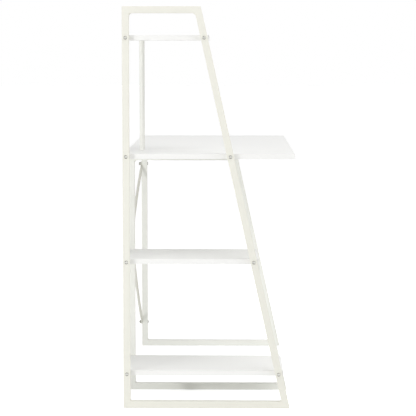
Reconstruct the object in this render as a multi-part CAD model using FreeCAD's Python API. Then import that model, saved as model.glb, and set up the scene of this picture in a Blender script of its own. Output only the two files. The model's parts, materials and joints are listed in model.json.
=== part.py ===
import FreeCAD, Part
import math
import os

# Desk with shelves: three steel tube frames, four white boards, a short post and a cross brace.
# Lengths are in millimetres. +Z is up, +X runs from the tall frame to the far end of the desk,
# and the front of the desk faces -Y. The origin is on the floor, at the middle of the footprint.

# Frames: closed trapezoids with an upright rear post and a leaning front leg
overall_width = 1020.0
tall_height = 1170.0
desk_frame_height = 730.0
base_depth = 487.0
tall_top_depth = 226.5
bay_width = 240.0
tube = 20.0
tube_wall = 1.2
tube_corner = 1.8
tube_inner_corner = 0.6
frame_corner = 2.0
top_weld_leg = 7.0
foot_weld_leg = 3.5
weld_hollow_share = 0.1

# Boards: faced chipboard with an edge band on all four sides
board = 15.0
band = 0.8
band_round = 0.5
desktop_depth = 500.0
bottom_shelf_top = 108.0
middle_shelf_top = 438.0
top_shelf_drop = 82.5
shelf_proud = 3.5

# Bolts: button heads with a hexagon socket
bolt_d = 6.0
head_d = 10.5
head_height = 3.3
head_rim = 0.8
head_flat_d = 5.4
socket_across = 4.0
socket_depth = 2.0
bolt_tip = 1.0
bolt_chamfer = 0.6
hole_clear = 0.3
fit_clear = 0.05

# Threaded inserts in the boards: long ones in the ends, short ones in the undersides
insert_d = 9.0
insert_length = 13.0
short_insert_length = 9.0
drill_room = 1.5

# Bolts from inside the desk-height top rails, reached through a hole in the rail's underside
rail_bolt_inset = 60.0
access_d = 12.0

# Short round post between the desktop and the top shelf
post_d = 16.0
post_wall = 1.2
post_inset = 46.0
plug_flange = 6.5
plug_spigot = 16.0
plug_chamfer = 0.5
plug_grip = 12.0

# Cross brace behind the middle and right frames
rod_d = 10.0
strap_width = 15.0
strap_thick = 3.0
strap_flat = 19.0
strap_taper = 26.0
inner_brace_bow = 5.8
brace_gap = 0.3
brace_below_shelf_bolt = 16.5
washer_d = 12.0
washer_thick = 1.0
nut_across = 10.0
nut_thick = 5.0
rivet_nut_d = 9.0
rivet_nut_length = 13.0
rivet_collar_d = 11.5
rivet_collar_length = 2.5

# How far a cutting tool runs past what it cuts, and a mitre line past the tube
overrun = 2.0
mitre_overrun_share = 0.5

# Directions
right = FreeCAD.Vector(1, 0, 0)
left = FreeCAD.Vector(-1, 0, 0)
rearward = FreeCAD.Vector(0, 1, 0)
forward = FreeCAD.Vector(0, -1, 0)
up = FreeCAD.Vector(0, 0, 1)
down = FreeCAD.Vector(0, 0, -1)

# Lean of the front legs, and the width of a leg along the floor
lean = (base_depth - tall_top_depth) / tall_height
leg_run = tube * math.hypot(1, lean)

# Heights that follow from the sizes above
desktop_top = desk_frame_height + board
top_shelf_top = tall_height - top_shelf_drop
brace_inset = bottom_shelf_top - board / 2 - brace_below_shelf_bolt

# Outer faces of the frames, measured from the left end
middle_frame_x = tube + bay_width
right_frame_x = overall_width - tube

# The braces bow rearward, the outer one over the inner one
outer_brace_bow = inner_brace_bow + rod_d + brace_gap
rear_reach = strap_thick / 2 + outer_brace_bow + rod_d / 2

# The left bolt heads and the outer brace are the only things past the frames and the desktop
x_left = head_height - (overall_width + head_height) / 2
y_rear = (desktop_depth + rear_reach) / 2 - rear_reach


def place(x, depth, z):
    """Point x from the left end, depth forward of the rear plane and z above the floor."""
    return FreeCAD.Vector(x_left + x, y_rear - depth, z)


def leg_depth(z):
    """Depth of a front leg's outer face at height z."""
    return base_depth - lean * z


def rod(radius, length, start, direction):
    return Part.makeCylinder(radius, length, start, direction)


def turned(shape, start, direction):
    """Moves a shape that was made along +Z at the origin."""
    moved = shape.copy()
    moved.Placement = FreeCAD.Placement(start, FreeCAD.Rotation(up, direction))
    return moved


def group(shapes):
    """One shape that holds each solid of the given shapes apart from the others."""
    solids = []
    for shape in shapes:
        solids.extend(shape.Solids)
    if len(solids) == 1:
        return solids[0]
    return Part.makeCompound(solids)


def cut_all(shape, tools):
    return shape.cut(tools) if tools else shape


# Bolts, nuts, washers and inserts


def hexagon(across, length):
    """Hexagonal bar along +Z."""
    corner_radius = across / math.sqrt(3)
    corners = []
    for step in range(7):
        angle = math.radians(60 * step)
        corners.append(FreeCAD.Vector(corner_radius * math.cos(angle), corner_radius * math.sin(angle), 0))
    return Part.Face(Part.makePolygon(corners)).extrude(up * length)


def button_head():
    """Domed head below the origin, with its socket opening down."""
    head_radius = head_d / 2
    flat_radius = head_flat_d / 2
    rise = flat_radius ** 2 + head_height ** 2 - head_radius ** 2 - head_rim ** 2
    dome_centre = rise / (2 * (head_height - head_rim))
    dome_radius = math.hypot(head_radius, head_rim - dome_centre)
    blank = Part.makeCylinder(head_radius, head_height, down * head_height)
    ball = Part.makeSphere(dome_radius, down * dome_centre)
    socket = hexagon(socket_across, socket_depth + overrun)
    socket.translate(down * (head_height + overrun))
    return blank.common(ball).cut(socket)


def bolt(length, start, direction):
    """Bolt whose head bears on start and whose shank points along direction."""
    plain = length - bolt_chamfer
    shank = Part.makeCylinder(bolt_d / 2, plain)
    tip = Part.makeCone(bolt_d / 2, bolt_d / 2 - bolt_chamfer, bolt_chamfer, up * plain)
    whole = shank.fuse([tip, button_head()]).removeSplitter()
    return turned(whole, start, direction)


def stud(length, start, direction):
    """Headless bolt with two chamfered ends."""
    plain = length - 2 * bolt_chamfer
    shank = Part.makeCylinder(bolt_d / 2, plain, up * bolt_chamfer)
    foot = Part.makeCone(bolt_d / 2 - bolt_chamfer, bolt_d / 2, bolt_chamfer)
    tip = Part.makeCone(bolt_d / 2, bolt_d / 2 - bolt_chamfer, bolt_chamfer, up * (length - bolt_chamfer))
    return turned(shank.fuse([foot, tip]).removeSplitter(), start, direction)


def insert(length, start, direction):
    """Threaded sleeve, shown without its thread."""
    sleeve = Part.makeCylinder(insert_d / 2, length)
    bore = Part.makeCylinder(bolt_d / 2 + fit_clear, length)
    return turned(sleeve.cut(bore), start, direction)


def insert_hole(length, start, direction):
    depth = length + bolt_tip + drill_room
    return rod(insert_d / 2 + fit_clear, depth + overrun, start - direction * overrun, direction)


def bolt_hole(length, start, direction):
    return rod(bolt_d / 2 + hole_clear, length + 2 * overrun, start - direction * overrun, direction)


def washer(start, direction):
    disc = Part.makeCylinder(washer_d / 2, washer_thick)
    bore = Part.makeCylinder(bolt_d / 2 + hole_clear, washer_thick)
    return turned(disc.cut(bore), start, direction)


def nut(start, direction):
    block = hexagon(nut_across, nut_thick)
    bore = Part.makeCylinder(bolt_d / 2 + fit_clear, nut_thick)
    return turned(block.cut(bore), start, direction)


def rivet_nut(start, direction):
    """Threaded sleeve flush in a tube's wall, with the collar that swells behind the wall as it is set."""
    sleeve = Part.makeCylinder(rivet_nut_d / 2, rivet_nut_length)
    collar = Part.makeCylinder(rivet_collar_d / 2, rivet_collar_length, up * tube_wall)
    bore = Part.makeCylinder(bolt_d / 2 + fit_clear, rivet_nut_length)
    return turned(sleeve.fuse(collar).cut(bore).removeSplitter(), start, direction)


# Places where bolts go, as points given by depth and height


def side_joints(board_top):
    """Where a board is bolted through a rear post and a front leg."""
    z = board_top - board / 2
    return [(tube / 2, z), (leg_depth(z) - leg_run / 2, z)]


def rail_joints():
    """Depths of the bolts that go up through a desk-height top rail."""
    return [rail_bolt_inset, leg_depth(desk_frame_height) - rail_bolt_inset]


def brace_ends(x):
    """Where the braces meet the rear face of a frame's rear post."""
    return [place(x + tube / 2, 0, z) for z in (desk_frame_height - brace_inset, brace_inset)]


# Frames


def square_bar(size, corner, length):
    """Solid square bar along +Z with rounded long edges."""
    bar = Part.makeBox(size, size, length)
    long_edges = [edge for edge in bar.Edges if edge.BoundBox.ZLength > length / 2]
    return bar.makeFillet(corner, long_edges)


def hollow_bar(length):
    bore = square_bar(tube - 2 * tube_wall, tube_inner_corner, length + 2 * overrun)
    bore.translate(FreeCAD.Vector(tube_wall, tube_wall, -overrun))
    return square_bar(tube, tube_corner, length).cut(bore)


def frame_corners(height):
    """Outer and inner corners, as depth and height, from the rear foot round by the front."""
    outer = [(0, 0), (base_depth, 0), (leg_depth(height), height), (0, height)]
    inner_top = height - tube
    inner_foot = leg_depth(tube) - leg_run
    inner = [(tube, tube), (inner_foot, tube), (leg_depth(inner_top) - leg_run, inner_top), (tube, inner_top)]
    return outer, inner


def mitre_block(x, outer_pair, inner_pair):
    """Block between the two mitre planes of a frame member."""
    near = []
    far = []
    for (outer_depth, outer_z), (inner_depth, inner_z) in zip(outer_pair, inner_pair):
        step_depth = (inner_depth - outer_depth) * mitre_overrun_share
        step_z = (inner_z - outer_z) * mitre_overrun_share
        near.append(place(x - overrun, outer_depth - step_depth, outer_z - step_z))
        far.append(place(x - overrun, inner_depth + step_depth, inner_z + step_z))
    corners = [near[0], near[1], far[1], far[0], near[0]]
    return Part.Face(Part.makePolygon(corners)).extrude(right * (tube + 2 * overrun))


def frame_member(x, outer_pair, inner_pair):
    """One tube of a frame, mitred at both ends."""
    start = place(x, *outer_pair[0])
    end = place(x, *outer_pair[1])
    along = (end - start).normalize()
    bar = hollow_bar((end - start).Length + 2 * tube)
    turn = FreeCAD.Rotation(right, along.cross(right), along, "ZXY")
    bar.Placement = FreeCAD.Placement(start - along * tube, turn)
    return bar.common(mitre_block(x, outer_pair, inner_pair))


def rounded_outline(x, outer):
    """Block that rounds the four outer corners of a frame, where the welds are ground smooth."""
    corners = [place(x - overrun, depth, z) for depth, z in outer]
    block = Part.Face(Part.makePolygon(corners + corners[:1])).extrude(right * (tube + 2 * overrun))
    cross_edges = [edge for edge in block.Edges if edge.BoundBox.XLength > tube]
    return block.makeFillet(frame_corner, cross_edges)


def weld(x, corner, neighbours, leg):
    """Weld in an inner corner of a frame, with a slightly hollow face."""
    root = place(x + tube_corner, *corner)
    toes = []
    for neighbour in neighbours:
        along = (place(x + tube_corner, *neighbour) - root).normalize()
        toes.append(root + along * leg)
    middle = (toes[0] + toes[1]) * 0.5
    middle += (root - middle).normalize() * (leg * weld_hollow_share)
    face = Part.Arc(toes[0], middle, toes[1]).toShape()
    sides = [Part.makeLine(root, toes[0]), Part.makeLine(toes[1], root)]
    outline = Part.Wire([sides[0], face, sides[1]])
    return Part.Face(outline).extrude(right * (tube - 2 * tube_corner))


def frame_welds(x, inner):
    """Small welds in the corners near the floor, and larger ones in the upper corners."""
    welds = []
    for turn, corner in enumerate(inner):
        neighbours = (inner[turn - 1], inner[(turn + 1) % len(inner)])
        leg = foot_weld_leg if corner[1] == tube else top_weld_leg
        welds.append(weld(x, corner, neighbours, leg))
    return group(welds)


def side_holes(x, board_tops):
    """Holes across a frame for the bolts of the boards beside it."""
    holes = []
    for board_top in board_tops:
        for depth, z in side_joints(board_top):
            holes.append(bolt_hole(tube, place(x, depth, z), right))
    return holes


def rivet_nut_holes():
    """Holes in the rear wall of the middle rear post."""
    radius = rivet_nut_d / 2 + fit_clear
    length = tube / 2 + overrun
    return [rod(radius, length, end + rearward * overrun, forward) for end in brace_ends(middle_frame_x)]


def brace_bolt_holes():
    """Holes right through the right rear post."""
    return [bolt_hole(tube, end, forward) for end in brace_ends(right_frame_x)]


def rail_holes(x):
    """Bolt holes in a top rail's upper wall, and wider access holes in its lower wall."""
    holes = []
    for depth in rail_joints():
        seat = place(x + tube / 2, depth, desk_frame_height - tube_wall)
        foot = place(x + tube / 2, depth, desk_frame_height - tube - overrun)
        holes.append(bolt_hole(tube_wall, seat, up))
        holes.append(rod(access_d / 2, tube_wall + 2 * overrun, foot, up))
    return holes


def frame(name, x, height, board_tops, rear_holes, top_holes):
    """The four tubes of one frame, with their bolt holes, and its welds."""
    outer, inner = frame_corners(height)
    outline = rounded_outline(x, outer)
    across = side_holes(x, board_tops)
    members = [("bottom_rail", 0, []), ("front_leg", 1, across), ("top_rail", 2, top_holes)]
    members.append(("rear_post", 3, across + rear_holes))
    pieces = {}
    for member, first, holes in members:
        second = (first + 1) % len(outer)
        shape = frame_member(x, (outer[first], outer[second]), (inner[first], inner[second]))
        pieces[name + "_" + member] = group([cut_all(shape.common(outline), holes)])
    pieces[name + "_frame_welds"] = frame_welds(x, inner)
    return pieces


def all_frames():
    pieces = frame("left", 0, tall_height, shelf_tops() + [desktop_top, top_shelf_top], [], [])
    for name, x, tops, rear_holes in (
        ("middle", middle_frame_x, shelf_tops(), rivet_nut_holes()),
        ("right", right_frame_x, [], brace_bolt_holes()),
    ):
        pieces.update(frame(name, x, desk_frame_height, tops, rear_holes, rail_holes(x)))
    return pieces


# Boards


def shelf_tops():
    """Shelves that are bolted to the middle frame as well as to the left one."""
    return [bottom_shelf_top, middle_shelf_top]


def shelf_depth(board_top):
    """A shelf stands a little proud of the front leg."""
    return leg_depth(board_top - board / 2) + shelf_proud


def end_inserts(board_top, x, direction, make):
    """Inserts, or the holes for them, in one end of a board."""
    return [make(insert_length, place(x, depth, z), direction) for depth, z in side_joints(board_top)]


def rail_inserts(make):
    """Inserts, or the holes for them, in the underside of the desktop."""
    shapes = []
    for x in (middle_frame_x, right_frame_x):
        for depth in rail_joints():
            spot = place(x + tube / 2, depth, desk_frame_height)
            shapes.append(make(short_insert_length, spot, up))
    return shapes


def board_inserts(name, make):
    """All the inserts of one board, or the holes for them."""
    top, length, depth, ends = boards()[name]
    shapes = end_inserts(top, tube, right, make)
    if ends == 2:
        shapes += end_inserts(top, tube + length, left, make)
    if name == "desktop":
        shapes += rail_inserts(make)
    if name == "top_shelf":
        shapes.append(make(short_insert_length, post_place(top - board), up))
    return shapes


def post_place(z):
    return place(tube + bay_width - post_inset, post_inset, z)


def board_holes(name):
    """Insert holes, and the hole of the bolt that goes up through the desktop into the short post."""
    holes = board_inserts(name, insert_hole)
    if name == "desktop":
        holes.append(bolt_hole(board, post_place(desk_frame_height), up))
    return holes


def board_core(name):
    top, length, depth, ends = boards()[name]
    corner = place(tube + band, depth - band, top - board)
    core = Part.makeBox(length - 2 * band, depth - 2 * band, board, corner)
    return group([core.cut(board_holes(name))])


def rounded_board(top, length, depth):
    """Whole board with rounded edges, as its trimmed edge bands leave it."""
    block = Part.makeBox(length, depth, board, place(tube, depth, top - board))
    return block.makeFillet(band_round, block.Edges)


def board_bands(name):
    """Front, rear, left and right edge bands."""
    top, length, depth, ends = boards()[name]
    whole = rounded_board(top, length, depth)
    foot = top - board
    side_length = depth - 2 * band
    strips = [Part.makeBox(length, band, board, place(tube, depth, foot))]
    strips.append(Part.makeBox(length, band, board, place(tube, band, foot)))
    strips.append(Part.makeBox(band, side_length, board, place(tube, depth - band, foot)))
    strips.append(Part.makeBox(band, side_length, board, place(tube + length - band, depth - band, foot)))
    holes = board_holes(name)
    return group([strip.common(whole).cut(holes) for strip in strips])


def boards():
    """Top height, length, depth and the number of bolted ends of each board."""
    top_depth = shelf_depth(top_shelf_top)
    return {
        "desktop": (desktop_top, overall_width - tube, desktop_depth, 1),
        "top_shelf": (top_shelf_top, bay_width, top_depth, 1),
        "middle_shelf": (middle_shelf_top, bay_width, shelf_depth(middle_shelf_top), 2),
        "bottom_shelf": (bottom_shelf_top, bay_width, shelf_depth(bottom_shelf_top), 2),
    }


def all_boards():
    pieces = {}
    for name in boards():
        pieces[name] = board_core(name)
        pieces[name + "_edge_bands"] = board_bands(name)
        pieces[name + "_inserts"] = group(board_inserts(name, insert))
    return pieces


# Bolts that hold the boards


def side_bolts(board_top, x, direction):
    length = tube + insert_length + bolt_tip
    return group([bolt(length, place(x, depth, z), direction) for depth, z in side_joints(board_top)])


def rail_bolts(x):
    """Bolts whose heads bear inside a top rail, on its upper wall."""
    length = tube_wall + short_insert_length + bolt_tip
    seat = desk_frame_height - tube_wall
    return group([bolt(length, place(x + tube / 2, depth, seat), up) for depth in rail_joints()])


def all_board_bolts():
    pieces = {}
    for name, (top, length, depth, ends) in boards().items():
        pieces[name + "_left_bolts"] = side_bolts(top, 0, right)
        if ends == 2:
            pieces[name + "_right_bolts"] = side_bolts(top, middle_frame_x + tube, left)
    pieces["middle_rail_bolts"] = rail_bolts(middle_frame_x)
    pieces["right_rail_bolts"] = rail_bolts(right_frame_x)
    return pieces


# Short post


def post_tube():
    length = top_shelf_top - board - desktop_top - 2 * plug_flange
    foot = post_place(desktop_top + plug_flange)
    outside = rod(post_d / 2, length, foot, up)
    return outside.cut(rod(post_d / 2 - post_wall, length, foot, up))


def post_plug(start, direction):
    """Threaded plug: a flange as wide as the post, then a spigot inside it."""
    radius = post_d / 2
    plain = plug_flange - plug_chamfer
    flange = Part.makeCylinder(radius, plain)
    edge = Part.makeCone(radius, radius - plug_chamfer, plug_chamfer, up * plain)
    spigot = Part.makeCylinder(radius - post_wall - fit_clear, plug_spigot, up * plug_flange)
    bore = Part.makeCylinder(bolt_d / 2 + fit_clear, plug_flange + plug_spigot)
    return turned(flange.fuse([edge, spigot]).cut(bore).removeSplitter(), start, direction)


def short_post():
    """Post that a stud holds to the top shelf from inside, and a bolt to the desktop from below."""
    bolt_length = board + plug_flange + plug_grip
    stud_length = short_insert_length + plug_flange + plug_grip
    under_shelf = top_shelf_top - board
    stud_top = post_place(under_shelf + short_insert_length)
    return {
        "shelf_post": post_tube(),
        "shelf_post_top_plug": post_plug(post_place(under_shelf), down),
        "shelf_post_bottom_plug": post_plug(post_place(desktop_top), up),
        "shelf_post_top_stud": stud(stud_length, stud_top, down),
        "shelf_post_bottom_bolt": bolt(bolt_length, post_place(desk_frame_height), up),
    }


# Cross brace


def flat_section(x):
    """Outline of the flattened end of a brace rod, square to its length."""
    corners = []
    for y, z in ((0, -1), (0, 1), (1, 1), (1, -1), (0, -1)):
        corners.append(FreeCAD.Vector(x, strap_thick * y, strap_width / 2 * z))
    return Part.makePolygon(corners)


def round_section(centre, along):
    """Outline of the rod in four arcs that face the four sides of the flat section."""
    radius = rod_d / 2
    across = up.cross(along)
    points = []
    for step in range(9):
        angle = math.radians(225 - 45 * step)
        points.append(centre + across * (radius * math.cos(angle)) + up * (radius * math.sin(angle)))
    arcs = [Part.Arc(*points[first:first + 3]).toShape() for first in (0, 2, 4, 6)]
    return Part.Wire(arcs)


def brace_shape(length, bow):
    """A bowed rod with straight, flattened, drilled ends, along +X with its bow towards +Y."""
    half = length / 2
    reach = half - strap_flat - strap_taper
    bend_radius = reach ** 2 / (2 * bow) + bow / 2
    middle = FreeCAD.Vector(half, strap_thick / 2 + bow - bend_radius, 0)
    angle = math.asin(reach / bend_radius)
    along = FreeCAD.Vector(math.cos(angle), math.sin(angle), 0)
    start = middle + FreeCAD.Vector(-math.sin(angle), math.cos(angle), 0) * bend_radius
    round_end = round_section(start, along)
    bar = Part.Face(round_end).revolve(middle, down, math.degrees(2 * angle))
    taper = Part.makeLoft([flat_section(strap_flat), round_end], True, True)
    eye = Part.makeCylinder(strap_width / 2, strap_thick, FreeCAD.Vector(), rearward)
    strap = Part.makeBox(strap_flat, strap_thick, strap_width, down * (strap_width / 2))
    hole = rod(bolt_d / 2 + hole_clear, strap_thick + 2 * overrun, forward * overrun, rearward)
    near_end = eye.fuse([strap, taper]).cut(hole)
    far_end = near_end.mirror(FreeCAD.Vector(half, 0, 0), right)
    return bar.fuse([near_end, far_end]).removeSplitter()


def brace(start, end, bow):
    """Brace from the right frame's rear post to the middle frame's."""
    along = (end - start).normalize()
    shape = brace_shape((end - start).Length, bow)
    turn = FreeCAD.Rotation(along, rearward, along.cross(rearward), "XYZ")
    shape.Placement = FreeCAD.Placement(start, turn)
    return group([shape])


def brace_fasteners():
    """Nuts behind the right frame's braces, and bolts from behind into the middle frame's rivet nuts."""
    bolts, washers, nuts, rivet_nuts = [], [], [], []
    stack = strap_thick + washer_thick
    through_length = tube + stack + nut_thick + bolt_tip
    blind_length = stack + rivet_nut_length + bolt_tip
    for end in brace_ends(right_frame_x):
        washers.append(washer(end + rearward * strap_thick, rearward))
        nuts.append(nut(end + rearward * stack, rearward))
        bolts.append(bolt(through_length, end + forward * tube, rearward))
    for end in brace_ends(middle_frame_x):
        washers.append(washer(end + rearward * strap_thick, rearward))
        rivet_nuts.append(rivet_nut(end, forward))
        bolts.append(bolt(blind_length, end + rearward * stack, forward))
    pieces = {"brace_bolts": group(bolts), "brace_washers": group(washers), "brace_nuts": group(nuts)}
    pieces["brace_rivet_nuts"] = group(rivet_nuts)
    return pieces


def cross_brace():
    """Two braces, each from the top of one rear post to the foot of the other."""
    right_high, right_low = brace_ends(right_frame_x)
    middle_high, middle_low = brace_ends(middle_frame_x)
    pieces = {
        "outer_brace": brace(right_high, middle_low, outer_brace_bow),
        "inner_brace": brace(right_low, middle_high, inner_brace_bow),
    }
    pieces.update(brace_fasteners())
    return pieces


def desk():
    pieces = all_frames()
    pieces.update(all_boards())
    pieces.update(all_board_bolts())
    pieces.update(short_post())
    pieces.update(cross_brace())
    return pieces


os.makedirs("parts", exist_ok=True)
for node, shape in desk().items():
    shape.exportStep("parts/" + node + ".step")
    print(node, len(shape.Solids), round(shape.Volume), shape.isValid())
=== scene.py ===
import json
import math

import bmesh
import bpy
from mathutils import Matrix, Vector


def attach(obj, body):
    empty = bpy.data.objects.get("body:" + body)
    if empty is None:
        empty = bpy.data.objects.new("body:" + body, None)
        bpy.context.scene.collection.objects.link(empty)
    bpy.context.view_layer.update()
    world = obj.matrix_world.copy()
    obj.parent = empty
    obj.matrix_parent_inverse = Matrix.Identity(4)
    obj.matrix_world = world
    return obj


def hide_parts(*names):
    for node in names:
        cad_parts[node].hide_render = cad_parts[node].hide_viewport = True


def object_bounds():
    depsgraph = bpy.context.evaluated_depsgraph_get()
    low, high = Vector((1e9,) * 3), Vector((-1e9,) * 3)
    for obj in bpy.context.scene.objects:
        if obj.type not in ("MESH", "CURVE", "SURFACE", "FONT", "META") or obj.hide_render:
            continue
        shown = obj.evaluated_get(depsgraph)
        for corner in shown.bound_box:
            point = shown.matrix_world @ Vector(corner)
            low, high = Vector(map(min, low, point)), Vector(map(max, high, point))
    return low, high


# Desk with shelves. The frame holds every tube, board, bolt, post and brace at its real size. This
# script gives them their finish, adds what is too fine for the frame, and sets up the studio.
# Lengths are in metres, on the frame's own axes: +X runs from the tall end to the far end of the
# desk, and its front faces -Y.

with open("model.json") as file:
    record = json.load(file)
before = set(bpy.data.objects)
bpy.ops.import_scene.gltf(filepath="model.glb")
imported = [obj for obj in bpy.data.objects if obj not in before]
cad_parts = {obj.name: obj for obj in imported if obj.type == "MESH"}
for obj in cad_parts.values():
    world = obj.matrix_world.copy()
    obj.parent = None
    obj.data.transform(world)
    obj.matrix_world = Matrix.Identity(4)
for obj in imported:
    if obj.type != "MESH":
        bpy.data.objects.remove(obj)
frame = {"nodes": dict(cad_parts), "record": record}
cad_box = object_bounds()

# Colours, as linear red, green and blue
CREAM = (0.812, 0.804, 0.733)
# Painted light: the same coat as CREAM, made lighter and cooler on the two far frames to stand in for the
# light on them
FAR_LIT_CREAM = (0.888, 0.894, 0.843)
POST_CREAM = (0.852, 0.856, 0.810)
# Painted shade: the same coat as CREAM, darker on the thin brace rods to stand in for the shade on them
BRACE_SHADED_CREAM = (0.79, 0.785, 0.715)
BOARD_WHITE = (0.907, 0.907, 0.889)
BAND_WHITE = (0.890, 0.890, 0.875)
# Painted reflection on bolts and nuts: the dark colour on faces that lean up or down, the bright one on
# upright faces
ZINC_SHADED_REFLECTION = (0.36, 0.36, 0.325)
ZINC_LIT_REFLECTION = (0.68, 0.68, 0.65)
INSERT_STEEL = (0.50, 0.49, 0.45)
FLOOR_BOUNCE = (0.92, 0.92, 0.91)
WHITE = (1.0, 1.0, 1.0)

# Noise: the values that most of it lies between, and its octaves in lumps, in grain and in patches
NOISE_LOW = 0.3
NOISE_HIGH = 0.7
LUMP_DETAIL = 1
GRAIN_DETAIL = 2
PATCH_DETAIL = 3

# Each finish has patches of a darker colour, whose share is what the darkest keep of the full colour,
# patches of gloss between two roughnesses, and a relief of lumps of a given size and height.

# Powder coat
COAT_IOR = 1.5
COAT_PATCH = 0.09
COAT_PATCH_SHARE = 0.985
COAT_GLOSS_PATCH = 0.012
COAT_ROUGHNESS = (0.40, 0.50)
ORANGE_PEEL = 0.0021
ORANGE_PEEL_HEIGHT = 0.00003
COAT_GRAIN = 0.0005
COAT_GRAIN_HEIGHT = 0.000008

# Board facing
FACING_IOR = 1.5
FACING_PATCH = 0.25
FACING_PATCH_SHARE = 0.99
FACING_GLOSS_PATCH = 0.004
FACING_ROUGHNESS = (0.36, 0.46)
PEARL_GRAIN = 0.0009
PEARL_GRAIN_HEIGHT = 0.000015

# Edge band
BAND_IOR = 1.48
BAND_PATCH = 0.05
BAND_PATCH_SHARE = 0.99
BAND_GLOSS_PATCH = 0.006
BAND_ROUGHNESS = (0.30, 0.38)
BAND_GRAIN = 0.0012
BAND_GRAIN_HEIGHT = 0.00001

# Zinc plating, and painted reflection: the upright part of a face's normal up to which it is painted
# bright, and from which painted dark
PLATING_PATCH = 0.003
SHADED_REFLECTION_PATCH_SHARE = 0.88
LIT_REFLECTION_PATCH_SHARE = 0.92
PLATING_GLOSS_PATCH = 0.0008
PLATING_ROUGHNESS = (0.30, 0.45)
PLATING_GRAIN = 0.0004
PLATING_GRAIN_HEIGHT = 0.000006
LIT_REFLECTION_LEAN = 0.12
SHADED_REFLECTION_LEAN = 0.42

# Small solids: how far one reaches, how near to each other its points are that share a place, and the
# angle up to which an edge looks smooth
SOLID_REACH = 0.025
SAME_PLACE = 0.0002
SMOOTH_ANGLE = math.radians(35)

# Weld beads: their hollow face, ripples and rounded ends, and the steps along and across a bead
BEAD_HOLLOW_SHARE = 0.1
RIPPLE_PITCH = 0.0016
RIPPLE_HEIGHT = 0.00028
RIPPLE_LAG = 0.0009
BEAD_END_SHARE = 0.18
BEAD_TIP_SHARE = 0.18
BEAD_STEPS = 80
BEAD_FACE_STEPS = 12

# Nuts: bore, chamfers, the flat ring on each face and the angle that one side spans
BORE_RADIUS = 0.00305
BORE_CHAMFER = 0.0004
NUT_FACE_SHARE = 0.95
NUT_CHAMFER_ANGLE = math.radians(30)
NUT_SIDE_ANGLE = math.radians(60)
NUT_STEPS = 72

# Light: a white studio that glows most towards its front and rear walls, a large soft lamp high at the
# front and a small low one towards the rear, both on the camera's side
SIDE_WALL_GLOW = 0.88
END_WALL_GLOW = 0.44
REAR_LAMP = {"turn": 34.5, "rise": 6.5, "side": 0.3, "share": 0.21}
KEY_LAMP = {"turn": -45, "rise": 60, "side": 3.0, "share": 0.431}
LAMP_DISTANCE = 4.0

# Floor: its width, how far it lies below the rails so that no two faces share a place, and the glow
# that brings it up to white for the camera
FLOOR_SIDE = 80.0
FLOOR_DROP = 0.0004
FLOOR_LIFT = 0.46

# Camera: its place, how far it looks down and towards the rear, in radians, and its lens and sensor in
# millimetres
CAMERA_PLACE = (-5.1676, -0.0740, 1.0521)
CAMERA_DOWN = 0.0989
CAMERA_TO_REAR = 0.0140
LENS = 139.98
SENSOR = 36.0


class Nodes:
    """The nodes of a material or a world."""

    def __init__(self, owner):
        owner.use_nodes = True
        self.tree = owner.node_tree
        self.tree.nodes.clear()

    def add(self, kind):
        return self.tree.nodes.new(kind)

    def join(self, start, end):
        self.tree.links.new(start, end)

    def calculate(self, operation, *sources):
        """Result of one operation on numbers or on the results of other nodes."""
        node = self.add("ShaderNodeMath")
        node.operation = operation
        for socket, source in zip(node.inputs, sources):
            if isinstance(source, (int, float)):
                socket.default_value = source
            else:
                self.join(source, socket)
        return node.outputs["Value"]

    def axes(self, space):
        """X, Y and Z outputs of the coordinates in the given space."""
        split = self.add("ShaderNodeSeparateXYZ")
        self.join(self.add("ShaderNodeTexCoord").outputs[space], split.inputs["Vector"])
        return split.outputs

    def by_ray(self, lighting, seen):
        """One shader for the light, and another for the camera, for gloss and through glass."""
        path = self.add("ShaderNodeLightPath")
        share = path.outputs["Is Camera Ray"]
        for ray in ("Is Glossy Ray", "Is Transmission Ray"):
            share = self.calculate("MAXIMUM", share, path.outputs[ray])
        mix = self.add("ShaderNodeMixShader")
        self.join(share, mix.inputs["Fac"])
        self.join(lighting, mix.inputs[1])
        self.join(seen, mix.inputs[2])
        return mix.outputs["Shader"]


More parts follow.
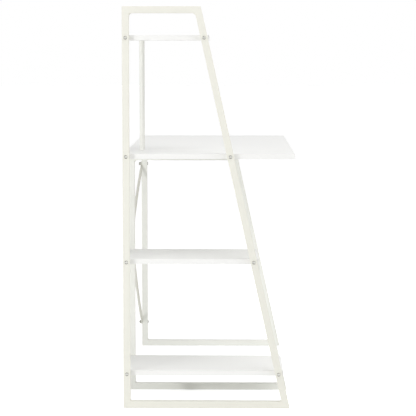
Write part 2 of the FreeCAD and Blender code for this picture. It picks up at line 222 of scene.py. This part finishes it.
class Finish(Nodes):
    """One material. Its patterns are worked out in the object's own coordinates, so in metres."""

    def __init__(self, name, **values):
        self.material = bpy.data.materials.new(name)
        super().__init__(self.material)
        self.shader = self.add("ShaderNodeBsdfPrincipled")
        output = self.add("ShaderNodeOutputMaterial")
        self.join(self.shader.outputs["BSDF"], output.inputs["Surface"])
        self.place = self.add("ShaderNodeTexCoord").outputs["Object"]
        for socket, value in values.items():
            self.shader.inputs[socket].default_value = value

    def noise(self, size, detail):
        """Noise whose lumps are about size metres across."""
        node = self.add("ShaderNodeTexNoise")
        self.join(self.place, node.inputs["Vector"])
        node.inputs["Scale"].default_value = 1 / size
        node.inputs["Detail"].default_value = detail
        return node.outputs["Fac"]

    def spread(self, source, source_ends, ends):
        """Turns values between the source's two ends into values between the other two."""
        node = self.add("ShaderNodeMapRange")
        self.join(source, node.inputs["Value"])
        for socket, value in zip(("From Min", "From Max", "To Min", "To Max"), (*source_ends, *ends)):
            node.inputs[socket].default_value = value
        return node.outputs["Result"]

    def patches(self, size, detail, ends):
        """Patches about size metres across, with values between the two ends."""
        return self.spread(self.noise(size, detail), (NOISE_LOW, NOISE_HIGH), ends)

    def blend(self, share, first, second):
        """Colour between first and second, which are colours or other blends."""
        node = self.add("ShaderNodeMix")
        node.data_type = "RGBA"
        self.join(share, node.inputs["Factor"])
        for socket, colour in (("A", first), ("B", second)):
            if isinstance(colour, tuple):
                node.inputs[socket].default_value = (*colour, 1)
            else:
                self.join(colour, node.inputs[socket])
        return node.outputs["Result"]

    def painted_reflection_mask(self):
        """Painted reflection mask: 1 on upright faces and 0 on those that lean well up or down, with a
        soft change between.
        """
        lean = self.calculate("ABSOLUTE", self.axes("Normal")["Z"])
        return self.spread(lean, (SHADED_REFLECTION_LEAN, LIT_REFLECTION_LEAN), (0, 1))

    def colour(self, source):
        self.join(source, self.shader.inputs["Base Color"])

    def gloss(self, size, detail, roughness):
        """Patches of roughness between the two given values."""
        self.join(self.patches(size, detail, roughness), self.shader.inputs["Roughness"])

    def relief(self, size, detail, height):
        """Adds a relief of the given height to the ones before it."""
        node = self.add("ShaderNodeBump")
        node.inputs["Strength"].default_value = 1.0
        node.inputs["Distance"].default_value = height
        self.join(self.noise(size, detail), node.inputs["Height"])
        normal = self.shader.inputs["Normal"]
        if normal.is_linked:
            self.join(normal.links[0].from_socket, node.inputs["Normal"])
        self.join(node.outputs["Normal"], normal)


def shade(colour, share):
    return tuple(part * share for part in colour)


def powder_coat(name, colour):
    """Satin powder coat: orange peel, a fine grain and a slightly uneven gloss."""
    finish = Finish(name, IOR=COAT_IOR)
    patches = finish.patches(COAT_PATCH, PATCH_DETAIL, (0, 1))
    finish.colour(finish.blend(patches, shade(colour, COAT_PATCH_SHARE), colour))
    finish.gloss(COAT_GLOSS_PATCH, GRAIN_DETAIL, COAT_ROUGHNESS)
    finish.relief(ORANGE_PEEL, LUMP_DETAIL, ORANGE_PEEL_HEIGHT)
    finish.relief(COAT_GRAIN, GRAIN_DETAIL, COAT_GRAIN_HEIGHT)
    return finish.material


def faced_board(name, colour):
    """White board facing with its fine pearl grain."""
    finish = Finish(name, IOR=FACING_IOR)
    patches = finish.patches(FACING_PATCH, PATCH_DETAIL, (0, 1))
    finish.colour(finish.blend(patches, shade(colour, FACING_PATCH_SHARE), colour))
    finish.gloss(FACING_GLOSS_PATCH, GRAIN_DETAIL, FACING_ROUGHNESS)
    finish.relief(PEARL_GRAIN, PATCH_DETAIL, PEARL_GRAIN_HEIGHT)
    return finish.material


def edge_tape(name, colour):
    """Smooth edge band, faintly uneven."""
    finish = Finish(name, IOR=BAND_IOR)
    patches = finish.patches(BAND_PATCH, PATCH_DETAIL, (0, 1))
    finish.colour(finish.blend(patches, shade(colour, BAND_PATCH_SHARE), colour))
    finish.gloss(BAND_GLOSS_PATCH, GRAIN_DETAIL, BAND_ROUGHNESS)
    finish.relief(BAND_GRAIN, GRAIN_DETAIL, BAND_GRAIN_HEIGHT)
    return finish.material


def zinc(name, dark, bright):
    """Zinc plated steel: cloudy plating, with a painted reflection that is darker on the parts of a head
    that lean up or down.
    """
    finish = Finish(name, Metallic=1.0)
    patches = finish.patches(PLATING_PATCH, PATCH_DETAIL, (0, 1))
    leaning = finish.blend(patches, shade(dark, SHADED_REFLECTION_PATCH_SHARE), dark)
    upright = finish.blend(patches, shade(bright, LIT_REFLECTION_PATCH_SHARE), bright)
    # Painted reflection: dark where the face leans up or down, bright where it is upright
    finish.colour(finish.blend(finish.painted_reflection_mask(), leaning, upright))
    finish.gloss(PLATING_GLOSS_PATCH, PATCH_DETAIL, PLATING_ROUGHNESS)
    finish.relief(PLATING_GRAIN, GRAIN_DETAIL, PLATING_GRAIN_HEIGHT)
    return finish.material


def finish_name(node, slot_name):
    """The material slot's own finish, apart from the two far frames, whose coat is a copy painted lighter
    and cooler to stand in for light.
    """
    far = node.startswith(("middle_", "right_"))
    return "far_lit_tube" if far and slot_name == "powder_coated_tube" else slot_name


def finish_frame():
    """Gives every node of the frame its finish, and returns all finishes by name."""
    finishes = {
        "powder_coated_tube": powder_coat("tube_powder_coat", CREAM),
        # Painted light: the far frames' copy of the coat, lighter and cooler
        "far_lit_tube": powder_coat("far_lit_powder_coat", FAR_LIT_CREAM),
        "post_tube": powder_coat("post_powder_coat", POST_CREAM),
        # Painted shade: the brace's copy of the coat, darker
        "brace_rod": powder_coat("brace_shaded_powder_coat", BRACE_SHADED_CREAM),
        "white_board": faced_board("board_facing", BOARD_WHITE),
        "edge_band": edge_tape("edge_tape", BAND_WHITE),
        # Painted reflection on the bolts and nuts
        "fastener": zinc("zinc_plating_painted_reflection", ZINC_SHADED_REFLECTION, ZINC_LIT_REFLECTION),
        "insert": zinc("insert_plating", INSERT_STEEL, INSERT_STEEL),
    }
    for subpart in frame["record"]["subparts"]:
        for slot in frame["nodes"][subpart["node"]].material_slots:
            slot.material = finishes[finish_name(subpart["node"], subpart["material_slot"])]
    return finishes


def node_solids(node):
    """The points of each separate solid of a node whose solids are small and well apart."""
    solids = []
    for vertex in frame["nodes"][node].data.vertices:
        home = [solid for solid in solids if (vertex.co - solid[0]).length < SOLID_REACH]
        if home:
            home[0].append(vertex.co)
        else:
            solids.append([vertex.co])
    return solids


def add_rings(target, rings, closed):
    """Adds faces between rings of points, with caps on the first and last ring unless they join."""
    verts = [[target.verts.new(point) for point in ring] for ring in rings]
    pairs = list(zip(verts, verts[1:]))
    if closed:
        pairs.append((verts[-1], verts[0]))
    for first, second in pairs:
        for index in range(len(first)):
            corner = (index + 1) % len(first)
            target.faces.new((first[index], first[corner], second[corner], second[index]))
    if not closed:
        target.faces.new(verts[0])
        target.faces.new(reversed(verts[-1]))


def detail_piece(name, shapes, closed, node, material):
    """Rides a mesh of ringed shapes on the desk in the place of a frame node."""
    target = bmesh.new()
    for rings in shapes:
        add_rings(target, rings, closed)
    bmesh.ops.recalc_face_normals(target, faces=target.faces)
    mesh = bpy.data.meshes.new(name)
    target.to_mesh(mesh)
    target.free()
    mesh.shade_smooth()
    mesh.set_sharp_from_angle(angle=SMOOTH_ANGLE)
    mesh.materials.append(material)
    piece = bpy.data.objects.new(name, mesh)
    bpy.context.scene.collection.objects.link(piece)
    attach(piece, "root")
    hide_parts(node)


def weld_section(points):
    """Root and two toes of a weld, from the points at its left end."""
    left = min(point.x for point in points)
    section = [Vector((0, point.y, point.z)) for point in points if point.x - left < SAME_PLACE]
    pairs = [(first, second) for first in section for second in section]
    toes = max(pairs, key=lambda pair: (pair[0] - pair[1]).length)
    along = (toes[1] - toes[0]).normalized()
    root = max(section, key=lambda point: (point - toes[0]).cross(along).length)
    return root, toes


def weld_bead(points):
    """Rings along one rippled bead, each round its face and back by its root."""
    root, toes = weld_section(points)
    left, right = min(point.x for point in points), max(point.x for point in points)
    to_root = (root - (toes[0] + toes[1]) / 2).normalized()
    hollow = (toes[0] - root).length * BEAD_HOLLOW_SHARE
    rings = []
    for step in range(BEAD_STEPS + 1):
        share = step / BEAD_STEPS
        x = left + (right - left) * share
        into_end = max(0, 1 - min(share, 1 - share) / BEAD_END_SHARE)
        size = max(math.sqrt(1 - into_end ** 2), BEAD_TIP_SHARE)
        ring = [root + Vector((x, 0, 0))]
        for face_step in range(BEAD_FACE_STEPS + 1):
            across = face_step / BEAD_FACE_STEPS
            belly = 4 * across * (1 - across)
            ripple = 0.5 + 0.5 * math.cos(2 * math.pi * (x + RIPPLE_LAG * belly) / RIPPLE_PITCH)
            point = toes[0].lerp(toes[1], across) + to_root * belly * (hollow - RIPPLE_HEIGHT * ripple)
            ring.append(root + (point - root) * size + Vector((x, 0, 0)))
        rings.append(ring)
    return rings


def chamfered_nut(points):
    """Rings round one nut's axis, which lies along Y: each is the outline of the nut cut at one angle."""
    low = Vector([min(point[axis] for point in points) for axis in range(3)])
    high = Vector([max(point[axis] for point in points) for axis in range(3)])
    middle = (low + high) / 2
    flat = min(high.x - low.x, high.z - low.z) / 2
    corner_along_x = high.z - low.z < high.x - low.x
    shift = 0 if corner_along_x else NUT_SIDE_ANGLE / 2
    thick = high.y - low.y
    face = flat * NUT_FACE_SHARE
    rings = []
    for step in range(NUT_STEPS):
        angle = 2 * math.pi * step / NUT_STEPS
        off_flat = (angle + shift) % NUT_SIDE_ANGLE - NUT_SIDE_ANGLE / 2
        corner = flat / math.cos(off_flat)
        drop = (corner - face) * math.tan(NUT_CHAMFER_ANGLE)
        outline = [(BORE_RADIUS, BORE_CHAMFER), (BORE_RADIUS + BORE_CHAMFER, 0), (face, 0), (corner, drop)]
        outline += [(radius, thick - place) for radius, place in reversed(outline)]
        turn = Vector((math.cos(angle), 0, math.sin(angle)))
        ring = []
        for radius, place in outline:
            ring.append(middle + turn * radius + Vector((0, place - thick / 2, 0)))
        rings.append(ring)
    return rings


def detail_pieces(finishes):
    """Rippled welds in the corners of each frame, and chamfered nuts on the brace."""
    for side in ("left", "middle", "right"):
        node = side + "_frame_welds"
        beads = [weld_bead(points) for points in node_solids(node)]
        slot_name = "powder_coated_tube"
        # The middle and right welds take the far frames' painted-light coat
        material = finishes[finish_name(node, slot_name)]
        detail_piece(side + "_weld_beads", beads, False, node, material)
    nuts = [chamfered_nut(points) for points in node_solids("brace_nuts")]
    detail_piece("brace_hexagon_nuts", nuts, True, "brace_nuts", finishes["fastener"])


def white_world():
    """White to the camera, and to the light a studio that glows from its walls and not from its zenith."""
    world = bpy.data.worlds.new("studio")
    nodes = Nodes(world)
    light = nodes.add("ShaderNodeBackground")
    seen = nodes.add("ShaderNodeBackground")
    for node in (light, seen):
        node.inputs["Color"].default_value = (*WHITE, 1)
    axes = nodes.axes("Generated")
    to_end = nodes.calculate("ABSOLUTE", axes["X"])
    to_side = nodes.calculate("ABSOLUTE", axes["Y"])
    end_glow = nodes.calculate("MULTIPLY", to_end, END_WALL_GLOW)
    glow = nodes.calculate("MULTIPLY_ADD", to_side, SIDE_WALL_GLOW, end_glow)
    nodes.join(glow, light.inputs["Strength"])
    output = nodes.add("ShaderNodeOutputWorld")
    mixed = nodes.by_ray(light.outputs["Background"], seen.outputs["Background"])
    nodes.join(mixed, output.inputs["Surface"])
    bpy.context.scene.world = world


def floor_material():
    """White to the camera, apart from the object's shadow, and a pale floor to the light."""
    material = bpy.data.materials.new("studio_floor")
    nodes = Nodes(material)
    bounce = nodes.add("ShaderNodeBsdfDiffuse")
    bounce.inputs["Color"].default_value = (*FLOOR_BOUNCE, 1)
    white = nodes.add("ShaderNodeBsdfDiffuse")
    white.inputs["Color"].default_value = (*WHITE, 1)
    lift = nodes.add("ShaderNodeEmission")
    lift.inputs["Strength"].default_value = FLOOR_LIFT
    seen = nodes.add("ShaderNodeAddShader")
    nodes.join(white.outputs["BSDF"], seen.inputs[0])
    nodes.join(lift.outputs["Emission"], seen.inputs[1])
    output = nodes.add("ShaderNodeOutputMaterial")
    nodes.join(nodes.by_ray(bounce.outputs["BSDF"], seen.outputs["Shader"]), output.inputs["Surface"])
    return material


def studio_floor():
    half = FLOOR_SIDE / 2
    corners = [(-half, -half, 0), (half, -half, 0), (half, half, 0), (-half, half, 0)]
    mesh = bpy.data.meshes.new("studio_floor")
    mesh.from_pydata(corners, [], [(0, 1, 2, 3)])
    mesh.materials.append(floor_material())
    floor = bpy.data.objects.new("studio_floor", mesh)
    floor.location.z = -FLOOR_DROP
    bpy.context.scene.collection.objects.link(floor)


def soft_lamp(name, turn, rise, side, share):
    """Square lamp that points at the desk from the camera's side of it.

    It is turned towards the rear, or the front if turn is negative, and raised, both in degrees. Its
    share is its light on a face turned to it, against that of an even studio of strength 1.
    """
    middle = (cad_box[0] + cad_box[1]) / 2
    turn, rise = math.radians(turn), math.radians(rise)
    away = Vector((-math.cos(turn) * math.cos(rise), math.sin(turn) * math.cos(rise), math.sin(rise)))
    data = bpy.data.lights.new(name, "AREA")
    data.shape = "SQUARE"
    data.size = side
    data.energy = share * (math.pi * LAMP_DISTANCE) ** 2
    lamp = bpy.data.objects.new(name, data)
    lamp.location = middle + away * LAMP_DISTANCE
    lamp.rotation_mode = "QUATERNION"
    lamp.rotation_quaternion = (-away).to_track_quat("-Z", "Y")
    lamp.visible_camera = False
    bpy.context.scene.collection.objects.link(lamp)


def photo_camera():
    down, to_rear = CAMERA_DOWN, CAMERA_TO_REAR
    level = math.cos(down)
    looks = Vector((level * math.cos(to_rear), level * math.sin(to_rear), -math.sin(down)))
    data = bpy.data.cameras.new("photo_camera")
    data.lens = LENS
    data.sensor_width = SENSOR
    camera = bpy.data.objects.new("photo_camera", data)
    camera.location = CAMERA_PLACE
    camera.rotation_mode = "QUATERNION"
    camera.rotation_quaternion = looks.to_track_quat("-Z", "Y")
    bpy.context.scene.collection.objects.link(camera)
    bpy.context.scene.camera = camera


detail_pieces(finish_frame())
studio_floor()
white_world()
soft_lamp("rear_lamp", **REAR_LAMP)
soft_lamp("key_lamp", **KEY_LAMP)
photo_camera()
bpy.context.scene.view_settings.view_transform = "Standard"
